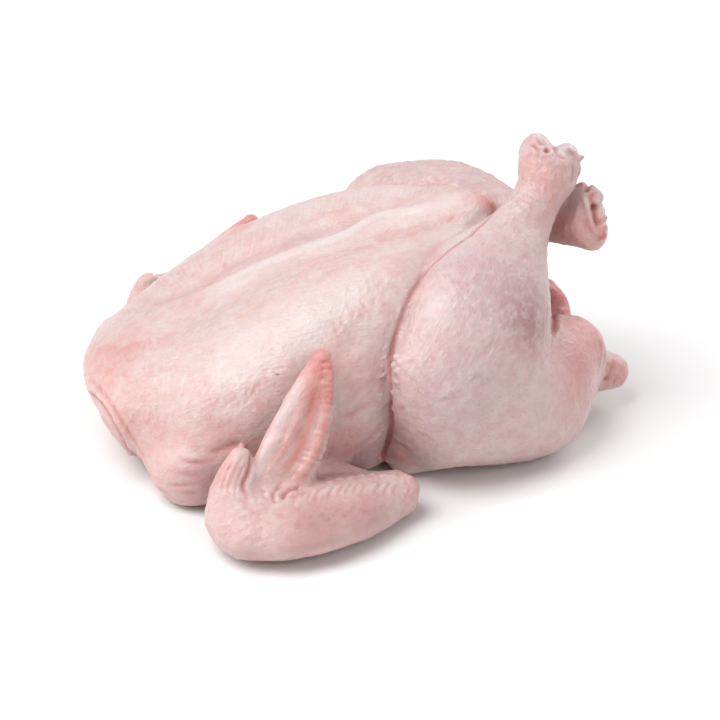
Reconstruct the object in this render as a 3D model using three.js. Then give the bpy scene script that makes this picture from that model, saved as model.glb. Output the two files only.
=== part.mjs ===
// A whole raw chicken, plucked and drawn, lying on its back with its breast up, its drumsticks crossed over the
// vent and its wings folded at its sides. Millimetres. The floor is z = 0, +X runs from the neck to the tail, +Y to
// the bird's left side, and the origin is on the floor under the middle of its back.
//
// The bird is one solid. It is shaped as muscles and joints are: each form is a swept limb, the forms melt into
// each other with a blend of a few millimetres, and the skin is the surface where the blended distance is zero.

import * as THREE from "three";
import { MarchingCubes } from "three/addons/objects/MarchingCubes.js";
import { SimplifyModifier } from "three/addons/modifiers/SimplifyModifier.js";
import { mergeVertices } from "three/addons/utils/BufferGeometryUtils.js";

// Driving dimensions.
const KEEL_FRONT = [-84, 0, 50];
const KEEL_TIP = [63, 1, 102];
const FAR_SWELL = 3.5;
const CHIN_SLOPE = 0.84;
const CHIN_FRONT = -93;
const SKIN_TRIANGLES = 11600;

// How softly neighbouring forms run into each other, and how deep the skin dips where two of them press.
const FLESH = 16;
const KEEL_BLEND = 13;
const JOINT = 9;
const FOLD = 4;
const TOUCH = 1.5;
const CREASE_WIDTH = 10;
const CREASE_DEPTH = 3;

// The field is sampled on a cube of cells that holds the whole bird.
const CELLS = 132;
const CUBE_SIDE = 286;
const CUBE_CENTRE = [7, -8, 75];
const FAR_AWAY = 60;
const REACH = 26;

// A form swept along the straight line between two points. Each section is an ellipse: its share of the line,
// half width, half height, and how far its centre stands off the line, sideways and upwards. `across` is the
// direction of the width, and the ends close with domes of the given lengths.
function limb({ from, to, across = [0, 1, 0], sections, domes }) {
  const start = new THREE.Vector3(...from);
  const along = new THREE.Vector3(...to).sub(start);
  const length = along.length();
  along.normalize();
  const up = new THREE.Vector3().crossVectors(along, new THREE.Vector3(...across)).normalize();
  const side = new THREE.Vector3().crossVectors(up, along);
  const shares = sections.map((s) => s[0]);
  const values = sections.flatMap(([, width, height, aside = 0, above = 0]) => [width, height, aside, above]);
  const section = new THREE.CubicInterpolant(shares, values, 4);
  const widest = Math.max(...sections.map((s) => Math.max(s[1], s[2]) + Math.hypot(s[3] ?? 0, s[4] ?? 0)));
  const box = new THREE.Box3().setFromPoints([start, new THREE.Vector3(...to)]);
  box.expandByScalar(widest + REACH);
  const point = new THREE.Vector3();

  return (x, y, z) => {
    point.set(x, y, z);
    if (!box.containsPoint(point)) return FAR_AWAY;
    point.sub(start);
    const run = point.dot(along);
    const share = Math.min(Math.max(run / length, 0), 1);
    const [width, height, aside, above] = section.evaluate(share);
    const beyond = run < 0 ? -run : Math.max(run - length, 0);
    const dome = domes ? domes[run < 0 ? 0 : 1] : Math.min(width, height);
    const a = point.dot(side) - aside;
    const b = point.dot(up) - above;
    const reach = Math.hypot(a / width, b / height, beyond / dome);
    const slope = Math.hypot(a / width ** 2, b / height ** 2, beyond / dome ** 2);
    return slope < 1e-9 ? -Math.min(width, height) : (reach * (reach - 1)) / slope;
  };
}

function ball(at, radii, turn = [0, 0, 0]) {
  const centre = new THREE.Vector3(...at);
  const back = new THREE.Quaternion().setFromEuler(new THREE.Euler(...turn)).invert();
  const [rx, ry, rz] = radii;
  const reachSquared = (Math.max(rx, ry, rz) + REACH) ** 2;
  const point = new THREE.Vector3();

  return (x, y, z) => {
    point.set(x, y, z).sub(centre);
    if (point.lengthSq() > reachSquared) return FAR_AWAY;
    point.applyQuaternion(back);
    const reach = Math.hypot(point.x / rx, point.y / ry, point.z / rz);
    const slope = Math.hypot(point.x / rx ** 2, point.y / ry ** 2, point.z / rz ** 2);
    return slope < 1e-9 ? -Math.min(rx, ry, rz) : (reach * (reach - 1)) / slope;
  };
}

function softMin(a, b, blend) {
  const overlap = Math.max(blend - Math.abs(a - b), 0);
  return Math.min(a, b) - (overlap * overlap) / (4 * blend);
}

function join(blend, ...forms) {
  return (x, y, z) => forms.reduce((d, form) => softMin(d, form(x, y, z), blend), FAR_AWAY);
}

// Two bodies of flesh pressed together: the skin dips in along the line where they meet.
function press(a, b) {
  return (x, y, z) => {
    const [da, db] = [a(x, y, z), b(x, y, z)];
    const nearness = Math.max(1 - Math.abs(da - db) / CREASE_WIDTH, 0);
    return Math.min(da, db) + CREASE_DEPTH * nearness * nearness;
  };
}

function carve(blend, body, hollow) {
  return (x, y, z) => -softMin(-body(x, y, z), hollow(x, y, z), blend);
}

// The breast: two long muscles with the keel between them, over a broad back.
function breastMuscle(s, swell) {
  return limb({
    from: [-102, 26 * s, 29],
    to: [58, 20 * s, 66],
    sections: [
      [0, 24, 17],
      [0.14, 35, 25, 4 * s, 0],
      [0.35, 42, 37 + swell / 2, 8 * s, -2],
      [0.58, 41, 44.5 + swell, 7 * s, -3],
      [0.8, 37, 45.5 + swell, 5 * s, -3],
      [1, 27, 40 + swell, 2 * s, -2],
    ],
    domes: [14, 10],
  });
}

const keel = limb({
  from: KEEL_FRONT,
  to: KEEL_TIP,
  sections: [
    [0, 12, 10],
    [0.4, 11, 13, 0, -1],
    [0.75, 10, 14, 0, -2],
    [1, 9.5, 12.5, 0, -3],
  ],
  domes: [14, 8],
});

const back = limb({
  from: [-90, 0, 22],
  to: [62, 0, 24],
  sections: [
    [0, 38, 19],
    [0.2, 64, 26],
    [0.48, 69, 28],
    [0.66, 57, 28],
    [0.85, 50, 30],
    [1, 44, 28],
  ],
  domes: [16, 14],
});

// The blunt end of the neck. Its underside slopes back to the floor, and the skin of the neck is folded in there.
const neck = ball([-97, -7, 34], [27.5, 33, 19]);
const underside = (x, y, z) => (x - CHIN_FRONT) * Math.sin(CHIN_SLOPE) + z * Math.cos(CHIN_SLOPE);
const neckFlap = ball([-105, -12, 15], [19, 29, 6], [0, CHIN_SLOPE, 0]);

function shoulder(s) {
  return limb({
    from: [-52, 34 * s, 32],
    to: [-82, 59 * s, 13],
    sections: [
      [0, 28, 24],
      [1, 22, 17],
    ],
  });
}

const breast = join(KEEL_BLEND, breastMuscle(1, FAR_SWELL), breastMuscle(-1, 0), keel);
const front = join(FLESH, breast, back, neck, shoulder(-1), shoulder(1));

// The belly's slack flesh, which sags to the floor in front of each thigh.
const belly = (s) => ball([0, 50 * s, 10], [14, 9, 8.5]);
const torso = join(JOINT, join(TOUCH, carve(JOINT, front, underside), neckFlap), belly(-1), belly(1));

// The vent: a fatty lip on each side of the cavity, with the tail under them and the thighs' roots beside them.
const nearLip = ball([99.5, -23, 34.5], [19.5, 17, 20], [-0.2, 0, 0.2]);
const farLip = ball([93, 22, 33.5], [20, 16, 21], [0.2, 0, -0.2]);
const pelvis = ball([74, 0, 26], [36, 46, 26]);

const tail = limb({
  from: [98, -3, 20],
  to: [127, -9, 17],
  sections: [
    [0, 20, 14],
    [0.5, 15, 12],
    [0.8, 12, 10],
    [1, 9, 8],
  ],
  domes: [10, 7],
});
const seat = (s) => ball([78, 46 * s, 20], [24, 22, 20]);
const rump = join(JOINT, pelvis, seat(-1), seat(1), nearLip, farLip, tail);

const cavity = limb({
  from: [52, 0, 48],
  to: [112, 0, 62],
  sections: [
    [0, 24, 20],
    [0.5, 20, 20],
    [1, 12, 20],
  ],
  domes: [14, 20],
});

// A leg: the thigh lies along the floor, and the drumstick rises from the knee to the hock over the vent. The flesh
// sags onto the floor under the knee, and the thigh's front edge laps over the flank. The hock is cut through its
// joint and ends in two knuckles.
function leg({ hip, knee, ankle, hock, thighDrop, knuckles }) {
  const thigh = limb({
    from: hip,
    to: [knee[0] + 4, knee[1], knee[2] - thighDrop],
    sections: [
      [0, 26, 28],
      [0.5, 32, 34],
      [1, 26, 30],
    ],
  });
  const kneeSag = ball([knee[0] - 6, knee[1] * 0.84, 15], [17, 15, 17]);
  const lapSide = Math.sign(knee[1]);
  const lap = limb({
    from: [knee[0] - 16.5, knee[1] + 3 * lapSide, 36],
    to: [knee[0] - 16.5, knee[1] - 5.5 * lapSide, 10.5],
    across: [1, 0, 0],
    sections: [
      [0, 7, 8],
      [0.5, 7.5, 9],
      [1, 10, 9],
    ],
  });
  const drumstick = limb({
    from: knee,
    to: ankle,
    across: [1, 0, 0],
    sections: [
      [0, 30, 26, 0.5],
      [0.28, 35, 28, 0.5],
      [0.56, 31, 25, -0.5],
      [0.8, 18, 17, -0.5],
      [1, 9.2, 9.5],
    ],
  });
  const shank = limb({
    from: ankle,
    to: hock,
    across: [1, 0, 0],
    sections: [
      [0, 9.5, 9.5, -0.5],
      [0.25, 10.3, 10.5, 1.5],
      [0.5, 12.2, 11, 2.7],
      [0.75, 14.2, 11.5, 2],
      [1, 14, 12, 1],
    ],
    domes: [10, 4],
  });
  const muscle = join(JOINT, join(FOLD, thigh, lap), kneeSag, drumstick, shank);
  return join(FOLD, muscle, ...knuckles.map((knuckle) => ball(...knuckle)));
}

const nearLeg = leg({
  hip: [84, -36, 32],
  knee: [32, -60, 52],
  ankle: [82, -16, 107],
  hock: [92, -4, 127],
  thighDrop: 16,
  knuckles: [
    [[87.5, -3, 131], [6.8, 8.5, 8.2]],
    [[101, -5, 127.5], [5.5, 8, 6.5]],
  ],
});
const farLeg = leg({
  hip: [80, 36, 32],
  knee: [34, 63, 72],
  ankle: [88, 13, 89],
  hock: [112, -8, 95],
  thighDrop: 30,
  knuckles: [
    [[111, -8, 105], [7, 7, 8]],
    [[114, -11, 92], [6, 7, 9]],
    [[106.5, -2, 108.5], [4.4, 6, 3.8]],
  ],
});

// A folded wing beyond the elbow: the forearm on the floor, and the hand and the thumb standing off the wrist. The
// hand is a bone along one edge, a thin web of skin behind it, and a soft rim along the web.
function wing({ elbow, wrist, handRoot, rimRoot, tip, thumbRoot, thumbTip, s }) {
  const forearm = limb({
    from: elbow,
    to: wrist,
    sections: [
      [0, 12.5, 9.5, 0],
      [0.3, 20.5, 11, 5.5 * s],
      [0.65, 27, 12, 6 * s],
      [0.9, 25.5, 13, 5.5 * s],
      [1, 22.5, 13, 4 * s],
    ],
    domes: [8, 14],
  });
  const handBone = limb({
    from: handRoot,
    to: tip,
    across: [1, 0, 0],
    sections: [
      [0, 10, 7, -5],
      [0.3, 7.5, 5.3, -6],
      [0.7, 5.4, 3.8, -3],
      [1, 3, 3],
    ],
    domes: [8, 3],
  });
  const handWeb = limb({
    from: handRoot,
    to: tip,
    across: [1, 0, 0],
    sections: [
      [0, 10, 4.6, 2],
      [0.25, 12, 3.8, 2],
      [0.6, 10.5, 3.2, 1],
      [0.85, 6, 2.6],
      [1, 2.5, 2],
    ],
    domes: [6, 3],
  });
  const rim = limb({
    from: rimRoot,
    to: tip,
    across: [1, 0, 0],
    sections: [
      [0, 4, 4],
      [0.25, 3.8, 3.6, 3],
      [0.55, 3.6, 3.4, 4.5],
      [0.85, 3, 3, 2.5],
      [1, 2.4, 2.2],
    ],
  });
  const thumb = limb({
    from: thumbRoot,
    to: thumbTip,
    across: [1, 0, 0],
    sections: [
      [0, 9.5, 8],
      [0.5, 8, 6],
      [1, 5, 4],
    ],
  });
  return join(FOLD, forearm, handBone, handWeb, rim, thumb);
}

const nearWing = wing({
  elbow: [8, -90, 10],
  wrist: [-66, -105, 14],
  handRoot: [-46, -96, 22],
  rimRoot: [-38, -97, 25],
  tip: [-23, -75, 73],
  thumbRoot: [-67.5, -98, 22],
  thumbTip: [-62, -93, 38],
  s: -1,
});
const farWing = wing({
  elbow: [2, 79, 20],
  wrist: [-78, 87, 20],
  handRoot: [-70, 92, 18],
  rimRoot: [-60, 93, 21],
  tip: [-33, 78, 68],
  thumbRoot: [-85, 92, 22],
  thumbTip: [-83, 88, 36],
  s: 1,
});

function upperArm(elbow, s) {
  return limb({
    from: [-62, 50 * s, 17],
    to: elbow,
    sections: [
      [0, 18, 14],
      [0.5, 12, 9],
      [1, 7.5, 7.5],
    ],
  });
}

// The skin drawn from the tip of the breast to both drumsticks.
const nearApron = limb({
  from: [34, -14, 88],
  to: [61, -9, 90.5],
  sections: [
    [0, 10, 8],
    [0.6, 10, 10],
    [1, 8, 9.5],
  ],
  domes: [10, 6],
});
const farApron = ball([47, 10, 97.5], [14, 9, 9.5]);
const apron = join(JOINT, nearApron, farApron);

const legs = join(TOUCH, nearLeg, farLeg);
const arms = join(JOINT, upperArm([1, -86, 8], -1), upperArm([0, 78, 10], 1));
const wings = join(FOLD, arms, nearWing, farWing);
const body = join(JOINT, carve(FOLD, press(torso, join(JOINT, legs, rump)), cavity), apron);
const bird = join(FOLD, body, wings);
const onFloor = carve(FOLD, bird, (x, y, z) => z);

// Spreads the corners of a closed mesh evenly over the zero surface of the distance.
function relax(mesh, distance, passes) {
  const place = mesh.attributes.position;
  const corners = mesh.index.array;
  const step = 0.5;
  const [sum, at] = [new Float32Array(place.array.length), new THREE.Vector3()];
  const valence = new Float32Array(place.count);
  for (let pass = 0; pass < passes; pass++) {
    sum.fill(0);
    valence.fill(0);
    for (let i = 0; i < corners.length; i += 3)
      for (const [from, to] of [[0, 1], [1, 2], [2, 0]]) {
        const [a, b] = [corners[i + from], corners[i + to]];
        for (let axis = 0; axis < 3; axis++) sum[a * 3 + axis] += place.array[b * 3 + axis];
        valence[a]++;
      }
    for (let i = 0; i < place.count; i++) {
      at.fromArray(sum, i * 3).divideScalar(valence[i]);
      const d = distance(at.x, at.y, at.z);
      const slope = new THREE.Vector3(
        distance(at.x + step, at.y, at.z) - d,
        distance(at.x, at.y + step, at.z) - d,
        distance(at.x, at.y, at.z + step) - d,
      ).divideScalar(step);
      at.addScaledVector(slope, -d / Math.max(slope.lengthSq(), 0.25));
      place.setXYZ(i, at.x, at.y, at.z);
    }
  }
}

// Samples the distance on the cube and returns its zero surface as a closed mesh of about the wanted triangles.
async function skinOf(distance, triangles) {
  const cubes = new MarchingCubes(CELLS, new THREE.Material(), false, false, 400000);
  const cell = CUBE_SIDE / CELLS;
  const place = (i, axis) => (i - CELLS / 2) * cell + CUBE_CENTRE[axis];
  const nudge = 1e-3;
  let i = 0;
  for (let k = 0; k < CELLS; k++)
    for (let j = 0; j < CELLS; j++)
      for (let h = 0; h < CELLS; h++, i++) {
        const depth = -distance(place(h, 0), place(j, 1), place(k, 2));
        cubes.field[i] = Math.abs(depth) < nudge ? nudge : depth;
      }
  cubes.isolation = 0;
  cubes.update();

  const corners = cubes.positionArray.slice(0, cubes.count * 3);
  const soup = new THREE.BufferGeometry().setAttribute("position", new THREE.BufferAttribute(corners, 3));
  const dense = mergeVertices(soup, 1e-6);
  dense.scale(CUBE_SIDE / 2, CUBE_SIDE / 2, CUBE_SIDE / 2);
  dense.translate(...CUBE_CENTRE);
  relax(dense, distance, 4);
  const surplus = dense.attributes.position.count - triangles / 2;
  return new SimplifyModifier().modify(dense, surplus);
}

const rawSkin = new THREE.MeshStandardMaterial({ color: 0xe8c4bd, roughness: 0.42, metalness: 0 });
const chicken = new THREE.Mesh(await skinOf(onFloor, SKIN_TRIANGLES), rawSkin);
chicken.name = "chicken";

const part = new THREE.Group();
part.add(chicken);
export default part;
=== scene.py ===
import math
import random
from collections import namedtuple

import bmesh
import bpy
import numpy as np
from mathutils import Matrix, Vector
from mathutils.bvhtree import BVHTree


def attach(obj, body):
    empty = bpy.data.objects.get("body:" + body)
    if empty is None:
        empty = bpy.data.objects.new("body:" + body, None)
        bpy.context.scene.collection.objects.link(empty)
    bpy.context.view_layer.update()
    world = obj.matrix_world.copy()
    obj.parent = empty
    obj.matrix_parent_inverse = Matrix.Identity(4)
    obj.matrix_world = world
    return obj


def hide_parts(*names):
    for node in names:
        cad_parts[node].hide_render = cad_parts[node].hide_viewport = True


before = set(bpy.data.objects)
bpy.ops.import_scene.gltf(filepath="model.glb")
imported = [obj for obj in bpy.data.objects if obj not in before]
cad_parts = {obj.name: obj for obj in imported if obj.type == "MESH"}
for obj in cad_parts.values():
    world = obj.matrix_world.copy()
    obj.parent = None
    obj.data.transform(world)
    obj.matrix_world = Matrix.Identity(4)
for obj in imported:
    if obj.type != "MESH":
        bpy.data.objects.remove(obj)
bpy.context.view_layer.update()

MM = 0.001

# The main view: where the camera stands, what it aims at, how large the bird is in its square frame, and the
# nearest and farthest that it sees, in metres.
VIEW_AZIMUTH = math.radians(-10)
VIEW_ELEVATION = math.radians(28)
VIEW_DISTANCE = 1200 * MM
VIEW_AIM = np.array([4.9, -9.3, 34.5]) * MM
FRAME_PIXELS = 720
FOCAL_PIXELS = 2592
SENSOR_MM = 36
NEAREST_SEEN = 0.05
FARTHEST_SEEN = 60

# The camera's own directions, and its place.
RIGHT = np.array([math.cos(VIEW_AZIMUTH), math.sin(VIEW_AZIMUTH), 0])
BACKWARD = np.array([
    math.sin(VIEW_AZIMUTH) * math.cos(VIEW_ELEVATION),
    -math.cos(VIEW_AZIMUTH) * math.cos(VIEW_ELEVATION),
    math.sin(VIEW_ELEVATION),
])
UPWARD = np.cross(BACKWARD, RIGHT)
EYE = VIEW_AIM + BACKWARD * VIEW_DISTANCE

# The studio's soft round lamps: each one's azimuth and elevation in degrees and its power in watts, their
# distance and width in metres, and the strength of the even light from all sides.
LAMPS = [
    ("key", -66, 62, 29.2),
    ("left_fill", -90, 30, 15.5),
    ("front_fill", 35, 30, 8),
    ("back_fill", 125, 32, 18),
]
LAMP_DISTANCE = 2.0
LAMP_WIDTH = 1.4
STUDIO_GLOW = 0.38

# The floor: the metres from its middle to its edge, and its plain pale finish.
FLOOR_REACH = 12
FLOOR_COLOUR = (0.84, 0.84, 0.84, 1)
FLOOR_ROUGHNESS = 0.7

# The skin's mesh: the voxel it is built with, how often it is smoothed, and the most triangles it keeps.
VOXEL = 0.78 * MM
SMOOTH_PASSES = 9
MOST_TRIANGLES = 196000

# The tints that the skin carries, each a share from 0 to 1 at every corner, in the order they are laid on:
# bare pale skin, also painted highlight on crests and lit tops; dark meat under thin skin; rosy skin; raw
# flesh; the red of folds, darkened there as painted shade; and painted shade, also the dark spot of gristle.
TINTS = ["cream", "lilac", "blush", "raw", "deep", "dark"]

# The colours of the skin: its own two, one for each tint, and those of the marks on it.
COLOURS = {
    "pale": (0.63, 0.505, 0.48, 1),
    "pink": (0.60, 0.425, 0.40, 1),
    # cream is bare pale skin, and painted highlight where it is laid on crests and lit tops.
    "cream": (0.665, 0.605, 0.595, 1),
    "lilac": (0.47, 0.345, 0.39, 1),
    "blush": (0.62, 0.275, 0.25, 1),
    "raw": (0.56, 0.16, 0.145, 1),
    # deep and dark are painted shade: deep is the red of folds darkened by it, dark is shade on sides and in
    # holes, and also the dark spot of gristle.
    "deep": (0.45, 0.15, 0.135, 1),
    "dark": (0.17, 0.09, 0.09, 1),
    "streak": (0.675, 0.58, 0.56, 1),
    "bump_ring": (0.52, 0.345, 0.365, 1),
    "blotch": (0.635, 0.53, 0.535, 1),
    "pore": (0.46, 0.24, 0.17, 1),
}

# The wet skin's gloss, and how much light sinks into it, how far each colour of light spreads, and how deep.
SPECULAR = 0.38
SCATTER_WEIGHT = 0.3
SCATTER_COLOURS = (1.0, 0.4, 0.3)
SCATTER_DEPTH = 1.8 * MM

# How many features each pattern of the skin has in a metre.
MOTTLE_SCALE = 160.0
BLOTCH_SCALE = 230.0
PEBBLE_SCALE = 420.0
BUMP_SCALE = 430.0
FINE_SCALE = 900.0

# The factors on the coordinates along and across a bone or a pore, which make streaks and pores long ovals.
STREAK_STRETCH = (0.12, 0.9, 0.9)
PORE_STRETCH = (0.7, 1.0, 0.0)

# The larger goose-bumps, in millimetres: the least distance between two, how far one is looked for, half its
# length and width, how far its middle lies back from its pore, and how far off a pore is where there is none.
GOOSE_GAP = 4.4
GOOSE_REACH = 2.6
GOOSE_LONG = 2.3
GOOSE_WIDE = 1.75
GOOSE_LEAN = 0.35
PORE_FAR = 9.0
GOOSE_TRIES = 60000
GOOSE_SEED = 7

# The bird's bones in millimetres: where each starts and ends, and how thick the flesh on it is. A corner of
# the skin belongs to the region of the bone that it is nearest to, measured in that bone's thickness.
BONES = {
    "torso": ((-95, 0, 38), (60, 0, 46), 60),
    "near_thigh": ((84, -36, 32), (36, -60, 36), 34),
    "far_thigh": ((80, 36, 32), (38, 63, 42), 34),
    "near_drum": ((32, -60, 52), (82, -16, 107), 31),
    "far_drum": ((34, 63, 72), (88, 13, 89), 31),
    "near_shank": ((82, -16, 107), (92, -4, 127), 12),
    "far_shank": ((88, 13, 89), (112, -8, 95), 12),
    "near_rump": ((90, -23, 34), (104, -23, 34), 18),
    "far_rump": ((86, 22, 33), (98, 22, 33), 18),
    "tail": ((98, -3, 20), (127, -9, 17), 14),
    "near_forearm": ((8, -95, 10), (-66, -110, 14), 22),
    "far_forearm": ((2, 84, 20), (-78, 92, 20), 22),
    "near_hand": ((-46, -96, 22), (-23, -75, 73), 10),
    "far_hand": ((-70, 92, 18), (-33, 78, 68), 10),
    "near_thumb": ((-67.5, -98, 22), (-62, -93, 38), 9),
    "far_thumb": ((-85, 92, 22), (-83, 88, 36), 9),
}
REGIONS = list(BONES)

# The larger parts, each with the words that its regions' names hold.
PARTS = {
    "torso": ["torso"],
    "legs": ["drum", "thigh"],
    "shanks": ["shank"],
    "wings": ["forearm", "hand", "thumb"],
    "hands": ["hand", "thumb"],
}

# The body's hollow, in millimetres: its middle line from the inner end to the mouth, how far off the line its
# wall starts and stops to fade out, and the places along X between which it fades towards the mouth.
CAVITY = ((52, 0, 50), (112, 0, 58))
CAVITY_REACH = (22, 30)
CAVITY_MOUTH = (92, 112)

# Broad tints: for each patch, the pixel of its middle, its radius in millimetres and its share there.
ROSY_PATCHES = {
    "neck": (105, 358, 34, 0.36),
    "lower_neck": (120, 420, 26, 0.18),
    "front": (160, 440, 30, 0.05),
    "web": (314, 395, 9, 0.35),
    "web_root": (302, 440, 10, 0.15),
    "hand_tip": (320, 366, 14, 0.8),
    "hand_rim": (328, 430, 7, 0.3),
    "keel_tip": (486, 198, 9, 0.8),
    "keel_tip_end": (493, 206, 6, 0.7),
    "far_wing_tip": (245, 222, 14, 0.9),
    "far_wing_edge": (240, 228, 9, 0.6),
    "far_wrist": (140, 285, 14, 0.1),
    "rump_edge": (562, 296, 18, 1.0),
    "tail": (618, 370, 18, 0.6),
    "flank": (352, 380, 26, 0.2),
    "low_body": (330, 445, 22, 0.1),
    "forearm": (315, 512, 24, 0.12),
    "forearm_end": (370, 500, 22, 0.12),
    "elbow": (412, 495, 12, 0.15),
    "far_shank": (575, 235, 20, 0.65),
    "thigh_foot": (400, 455, 14, 0.5),
    "thumb": (230, 470, 12, 0.25),
    "hock": (532, 150, 12, 0.15),
    "ankle_back": (545, 215, 12, 0.4),
    "rump": (580, 335, 28, 0.8),
    "rump_foot": (572, 380, 26, 0.5),
    "rump_top": (570, 322, 14, 0.5),
    "rump_shoulder": (592, 328, 12, 0.5),
    "rump_side": (600, 352, 12, 0.35),
    "shank": (556, 182, 15, 0.6),
    "shank_front": (525, 170, 12, 0.3),
    "calf": (532, 338, 16, 0.2),
    "flank_foot": (340, 440, 18, 0.15),
    "low_breast": (250, 418, 22, 0.1),
    "low_front": (205, 430, 20, 0.1),
}
RAW_PATCHES = {
    "hand_tip": (321, 358, 9, 0.5),
    "far_wing_tip": (243, 224, 8, 0.4),
    "rump_edge": (565, 294, 13, 0.45),
    "rump_edge_top": (558, 288, 10, 0.4),
    "rump_edge_foot": (566, 302, 9, 0.4),
    "far_shank_root": (555, 224, 11, 0.45),
    "keel_tip": (491, 203, 6, 0.35),
    "fold_foot": (390, 470, 7, 0.3),
    "far_shank_end": (602, 236, 6, 0.4),
    "tail_end": (628, 371, 5, 0.5),
}
SHADY_PATCHES = {
    "forearm_underside": (328, 521, 20, 0.27),
    "elbow_underside": (375, 512, 18, 0.2),
    "calf": (532, 330, 18, 0.32),
    "rump": (580, 350, 22, 0.1),
    "calf_top": (522, 302, 16, 0.18),
    "rump_side": (598, 350, 14, 0.12),
    "wrist_underside": (300, 548, 14, 0.1),
    "shoulder": (190, 475, 12, 0.12),
}
LILAC_PATCHES = {
    "drumstick": (490, 270, 34, 0.6),
    "thigh": (470, 340, 30, 0.3),
    "drumstick_front": (455, 268, 20, 0.3),
    "calf": (530, 305, 24, 0.65),
    "calf_foot": (537, 340, 16, 0.2),
    "knee": (430, 256, 14, 0.1),
    "far_thigh": (410, 170, 18, 0.5),
    "far_drumstick": (470, 185, 14, 0.4),
    "calf_front": (512, 305, 16, 0.6),
    # The lilac low on the flank, where it meets the floor, is painted shade.
    "flank_on_floor": (355, 474, 12, 0.9),
    "low_thigh": (455, 400, 26, 0.6),
    "far_lobe": (300, 235, 18, 0.4),
    "calf_back": (535, 345, 14, 0.2),
    "rump": (575, 350, 14, 0.3),
    "shoulder": (195, 472, 14, 0.5),
    # Painted shade as well, low on the flank.
    "flank": (365, 455, 12, 0.6),
}
CREAMY_PATCHES = {
    "breast": (300, 320, 26, 0.7),
    "breast_front": (240, 350, 22, 0.6),
    "breast_back": (350, 292, 18, 0.6),
    # The thigh's patch is a painted highlight.
    "thigh": (442, 308, 14, 0.9),
    "drumstick": (470, 232, 14, 0.6),
    "shin": (500, 215, 12, 0.5),
    "knee": (430, 285, 12, 0.3),
    "rump": (560, 400, 26, 0.3),
    "forearm": (300, 540, 22, 0.25),
    "near_lobe": (400, 225, 14, 0.4),
    "keel_front": (230, 290, 16, 0.3),
    # The knee's top is painted light, where the top of the leg catches the light.
    "knee_top": (455, 250, 16, 1.0),
    "torn_skin": (232, 396, 16, 0.4),
}

# A line on the skin: its places, and at each the skin's normal, the line's direction and its run from 0 to 1.
Line = namedtuple("Line", "at normal along run")

# The pixels between the places of a line, of a short stroke, and of a rail that strokes start or end on.
LINE_SPACING = 2.0
STROKE_SPACING = 1.5
RAIL_SPACING = 0.5

# The golden ratio's fraction, as a share that spreads places evenly and as 64 bits that mix numbers well.
GOLDEN = 0.618034
GOLDEN_BITS = np.uint64(0x9E3779B97F4A7C15)


def add_camera():
    data = bpy.data.cameras.new("camera")
    data.sensor_width = SENSOR_MM
    data.lens = SENSOR_MM * FOCAL_PIXELS / FRAME_PIXELS
    data.clip_start = NEAREST_SEEN
    data.clip_end = FARTHEST_SEEN
    camera = bpy.data.objects.new("camera", data)
    camera.location = EYE
    camera.rotation_euler = Vector(BACKWARD).to_track_quat("Z", "Y").to_euler()
    bpy.context.scene.collection.objects.link(camera)
    bpy.context.scene.camera = camera


def add_floor():
    bm = bmesh.new()
    bmesh.ops.create_grid(bm, x_segments=2, y_segments=2, size=FLOOR_REACH)
    mesh = bpy.data.meshes.new("floor")
    bm.to_mesh(mesh)
    bm.free()
    floor = bpy.data.objects.new("floor", mesh)
    material = bpy.data.materials.new("pale_floor")
    material.use_nodes = True
    shader = material.node_tree.nodes["Principled BSDF"]
    shader.inputs["Base Color"].default_value = FLOOR_COLOUR
    shader.inputs["Roughness"].default_value = FLOOR_ROUGHNESS
    mesh.materials.append(material)
    bpy.context.scene.collection.objects.link(floor)


def add_lamp(name, azimuth, elevation, power):
    data = bpy.data.lights.new(name, "AREA")
    data.shape = "DISK"
    data.size = LAMP_WIDTH
    data.energy = power
    lamp = bpy.data.objects.new(name, data)
    a, e = math.radians(azimuth), math.radians(elevation)
    back = Vector((math.sin(a) * math.cos(e), -math.cos(a) * math.cos(e), math.sin(e)))
    lamp.location = back * LAMP_DISTANCE
    lamp.rotation_euler = back.to_track_quat("Z", "Y").to_euler()
    bpy.context.scene.collection.objects.link(lamp)


def add_world():
    world = bpy.data.worlds.new("studio")
    world.use_nodes = True
    background = world.node_tree.nodes["Background"]
    background.inputs["Color"].default_value = (1, 1, 1, 1)
    background.inputs["Strength"].default_value = STUDIO_GLOW
    bpy.context.scene.world = world


def merged_copy(node):
    """A new mesh with the node's shape and shared corners."""
    bm = bmesh.new()
    bm.from_mesh(node.data)
    bmesh.ops.remove_doubles(bm, verts=bm.verts, dist=1e-6)
    mesh = bpy.data.meshes.new("whole_chicken")
    bm.to_mesh(mesh)
    bm.free()
    return mesh


def finished(piece, *modifiers):
    """Replaces the piece's mesh by what the modifiers make of it."""
    for kind, values in modifiers:
        modifier = piece.modifiers.new(kind.lower(), kind)
        for name, value in values.items():
            setattr(modifier, name, value)
    view = piece.evaluated_get(bpy.context.evaluated_depsgraph_get())
    mesh = bpy.data.meshes.new_from_object(view)
    piece.modifiers.clear()
    piece.data = mesh
    return piece


def fine_skin(node):
    """The bird's one piece: the node's shape, rounded and built anew of small even faces."""
    piece = bpy.data.objects.new("whole_chicken", merged_copy(node))
    bpy.context.scene.collection.objects.link(piece)
    return finished(
        piece,
        ("SUBSURF", {"levels": 2, "render_levels": 2}),
        ("REMESH", {"mode": "VOXEL", "voxel_size": VOXEL}),
        ("SMOOTH", {"factor": 0.5, "iterations": SMOOTH_PASSES}),
    )


def vectors_of(source, field):
    """The field of each of the mesh's elements, as rows of three numbers."""
    found = np.zeros(len(source) * 3, np.float32)
    source.foreach_get(field, found)
    return found.reshape(-1, 3).astype(float)


def unit(vectors):
    return vectors / np.maximum(np.linalg.norm(vectors, axis=-1, keepdims=True), 1e-12)


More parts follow.
